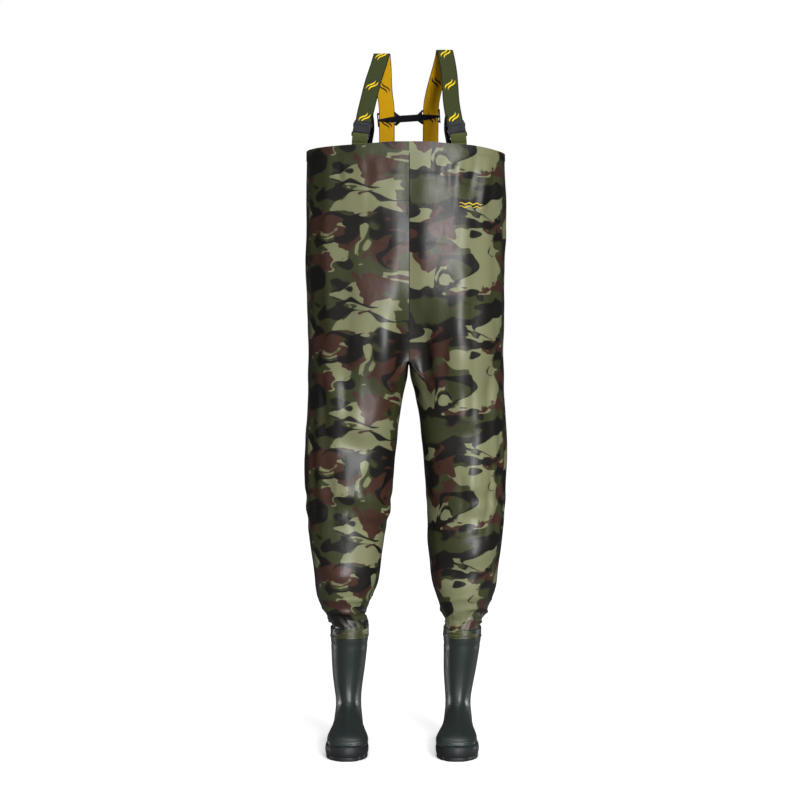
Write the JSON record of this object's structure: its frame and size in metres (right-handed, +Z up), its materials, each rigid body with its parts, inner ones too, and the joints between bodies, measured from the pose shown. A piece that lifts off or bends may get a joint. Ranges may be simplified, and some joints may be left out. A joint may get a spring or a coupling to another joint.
{
  "type": "chest waders",
  "caption": "Camouflage PVC chest waders with welded moulded boots and clip-on webbing braces joined by a back bridge.",
  "frame": {"origin": "on the floor under the middle of the whole object's box", "axes": "+Z up, toes and chest towards -Y, +X across the width, mirror plane X = 0"},
  "size_m": [0.491, 0.3634, 1.695],
  "materials": {
    "camo_pvc": "PVC-coated polyester, semi-gloss, printed woodland camouflage in sage, olive, brown and near-black",
    "seam_tape": "welded PVC tape, satin",
    "pocket_pvc": "PVC-coated polyester, satin",
    "olive_webbing": "woven webbing, matte",
    "braces_webbing": "woven elastic webbing, olive outside and amber inside with black edges and small woven wave marks, matte",
    "black_plastic": "moulded acetal, satin",
    "boot_pvc": "moulded PVC, soft sheen, very dark green",
    "sole_pvc": "moulded PVC, matte, near-black",
    "boot_lining": "knitted nylon, matte",
    "insole_foam": "foam with fabric top, matte"
  },
  "bodies": {
    "bib": {"bib_panel_left": "camo_pvc", "bib_panel_right": "camo_pvc", "top_hem": "camo_pvc", "centre_front_seam": "camo_pvc", "centre_back_seam": "camo_pvc", "crotch_tape": "seam_tape", "inner_pocket": "pocket_pvc", "front_tab_left": "olive_webbing", "front_tab_right": "olive_webbing", "buckle_plug_left": "black_plastic", "buckle_plug_right": "black_plastic", "strap_anchor_left": "olive_webbing", "strap_anchor_right": "olive_webbing", "hip_fabric_left": "camo_pvc", "hip_fabric_right": "camo_pvc"},
    "braces_back": {"strap_back_left": "braces_webbing", "strap_back_right": "braces_webbing", "strap_fold_left": "braces_webbing", "strap_fold_right": "braces_webbing"},
    "bridge": {"back_bridge": "black_plastic"},
    "brace_front_left": {"strap_front_left": "braces_webbing"},
    "socket_left": {"buckle_socket_left": "black_plastic"},
    "arm_left_outer": {"latch_left_outer": "black_plastic"},
    "arm_left_inner": {"latch_left_inner": "black_plastic"},
    "upper_leg_left": {"thigh_left": "camo_pvc", "knee_fabric_left": "camo_pvc"},
    "lower_leg_left": {"shin_left": "camo_pvc", "cuff_fabric_left": "camo_pvc"},
    "boot_left": {"weld_band_left": "camo_pvc", "boot_upper_left": "boot_pvc", "boot_lining_left": "boot_lining", "insole_left": "insole_foam", "outsole_left": "sole_pvc"},
    "brace_front_right": {"strap_front_right": "braces_webbing"},
    "socket_right": {"buckle_socket_right": "black_plastic"},
    "arm_right_outer": {"latch_right_outer": "black_plastic"},
    "arm_right_inner": {"latch_right_inner": "black_plastic"},
    "upper_leg_right": {"thigh_right": "camo_pvc", "knee_fabric_right": "camo_pvc"},
    "lower_leg_right": {"shin_right": "camo_pvc", "cuff_fabric_right": "camo_pvc"},
    "boot_right": {"weld_band_right": "camo_pvc", "boot_upper_right": "boot_pvc", "boot_lining_right": "boot_lining", "insole_right": "insole_foam", "outsole_right": "sole_pvc"}
  },
  "joints": [
    {"name": "braces_fold_back", "type": "hinge", "parent": "bib", "child": "braces_back", "pos_m": [0, 0.174, 1.452], "axis": [-1, 0, 0], "range_deg": [0, 180], "deforming": ["latch_left_outer", "latch_left_inner", "latch_right_outer", "latch_right_inner"]},
    {"name": "bridge_slide", "type": "slide", "parent": "braces_back", "child": "bridge", "axis": [0, -0.5098, 0.8603], "range_m": [-0.03, 0.02]},
    {"name": "brace_swing_left", "type": "hinge", "parent": "braces_back", "child": "brace_front_left", "pos_m": [-0.077, 0.03, 1.693], "axis": [-1, 0, 0], "range_deg": [0, 124], "deforming": ["strap_fold_left", "latch_left_outer", "latch_left_inner"]},
    {"name": "buckle_slide_left", "type": "slide", "parent": "brace_front_left", "child": "socket_left", "axis": [0.1509, 0.4277, 0.8913], "range_m": [0, 0.06], "deforming": ["latch_left_outer", "latch_left_inner"]},
    {"name": "squeeze_left_outer", "type": "hinge", "parent": "bib", "child": "arm_left_outer", "pos_m": [-0.12636, -0.08158, 1.47669], "axis": [0, 0.9016, -0.4326], "range_deg": [0, 14], "stiffness_Nm_per_rad": 0.4},
    {"name": "squeeze_left_inner", "type": "hinge", "parent": "bib", "child": "arm_left_inner", "pos_m": [-0.10303, -0.08312, 1.47348], "axis": [0, -0.9016, 0.4326], "range_deg": [0, 14], "stiffness_Nm_per_rad": 0.4},
    {"name": "hip_left", "type": "hinge", "parent": "bib", "child": "upper_leg_left", "pos_m": [-0.126, 0.03, 0.96], "axis": [-1, 0, 0], "range_deg": [-15, 75], "deforming": ["hip_fabric_left"]},
    {"name": "knee_left", "type": "hinge", "parent": "upper_leg_left", "child": "lower_leg_left", "pos_m": [-0.144, 0.055, 0.57], "axis": [1, 0, 0], "range_deg": [0, 90], "deforming": ["knee_fabric_left"]},
    {"name": "cuff_left", "type": "hinge", "parent": "lower_leg_left", "child": "boot_left", "pos_m": [-0.14, 0.036, 0.311], "axis": [-1, 0, 0], "range_deg": [-20, 30], "deforming": ["cuff_fabric_left"]},
    {"name": "brace_swing_right", "type": "hinge", "parent": "braces_back", "child": "brace_front_right", "pos_m": [0.077, 0.03, 1.693], "axis": [-1, 0, 0], "range_deg": [0, 124], "deforming": ["strap_fold_right", "latch_right_outer", "latch_right_inner"]},
    {"name": "buckle_slide_right", "type": "slide", "parent": "brace_front_right", "child": "socket_right", "axis": [-0.1509, 0.4277, 0.8913], "range_m": [0, 0.06], "deforming": ["latch_right_outer", "latch_right_inner"]},
    {"name": "squeeze_right_outer", "type": "hinge", "parent": "bib", "child": "arm_right_outer", "pos_m": [0.12636, -0.08158, 1.47669], "axis": [0, -0.9016, 0.4326], "range_deg": [0, 14], "stiffness_Nm_per_rad": 0.4},
    {"name": "squeeze_right_inner", "type": "hinge", "parent": "bib", "child": "arm_right_inner", "pos_m": [0.10303, -0.08312, 1.47348], "axis": [0, 0.9016, -0.4326], "range_deg": [0, 14], "stiffness_Nm_per_rad": 0.4},
    {"name": "hip_right", "type": "hinge", "parent": "bib", "child": "upper_leg_right", "pos_m": [0.126, 0.03, 0.96], "axis": [-1, 0, 0], "range_deg": [-15, 75], "deforming": ["hip_fabric_right"]},
    {"name": "knee_right", "type": "hinge", "parent": "upper_leg_right", "child": "lower_leg_right", "pos_m": [0.144, 0.055, 0.57], "axis": [1, 0, 0], "range_deg": [0, 90], "deforming": ["knee_fabric_right"]},
    {"name": "cuff_right", "type": "hinge", "parent": "lower_leg_right", "child": "boot_right", "pos_m": [0.14, 0.036, 0.311], "axis": [-1, 0, 0], "range_deg": [-20, 30], "deforming": ["cuff_fabric_right"]}
  ],
  "couplings": [
    {"joint": "squeeze_left_inner", "follows": "squeeze_left_outer", "ratio": 1},
    {"joint": "squeeze_right_inner", "follows": "squeeze_right_outer", "ratio": 1}
  ]
}
